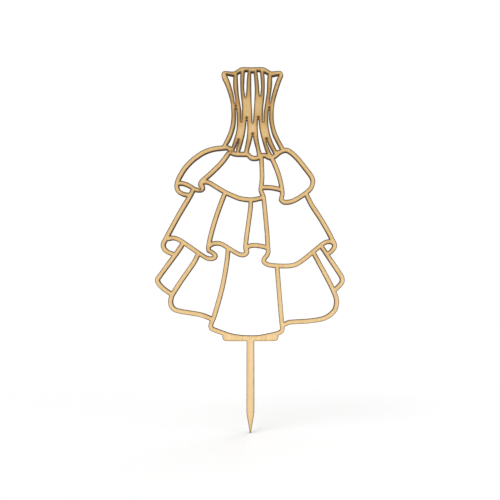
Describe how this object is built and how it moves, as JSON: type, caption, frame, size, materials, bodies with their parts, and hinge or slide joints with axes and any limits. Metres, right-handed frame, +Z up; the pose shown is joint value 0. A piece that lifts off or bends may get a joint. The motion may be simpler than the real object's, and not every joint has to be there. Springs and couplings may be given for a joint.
{
  "type": "cake topper",
  "caption": "Openwork wedding dress silhouette with a hem support bar and a pointed stake, laser cut from flat plywood sheet.",
  "frame": {"origin": "centre of the stake where it leaves the underside of the support bar, level with the top of the icing", "axes": "+Z up along the stake towards the neckline, +X to the right seen from the front, front face towards -Y"},
  "size_m": [0.1036, 0.003, 0.1996],
  "materials": {
    "face_veneer": "bare sanded pale veneer with laser-browned edges",
    "core_veneer": "bare veneer, its cut edge browned by the laser",
    "glue_line": "cured wood glue, charred at the cut edge"
  },
  "bodies": {
    "root": {"front_veneer": "face_veneer", "front_glue_line": "glue_line", "core_veneer": "core_veneer", "back_glue_line": "glue_line", "back_veneer": "face_veneer"}
  },
  "joints": []
}
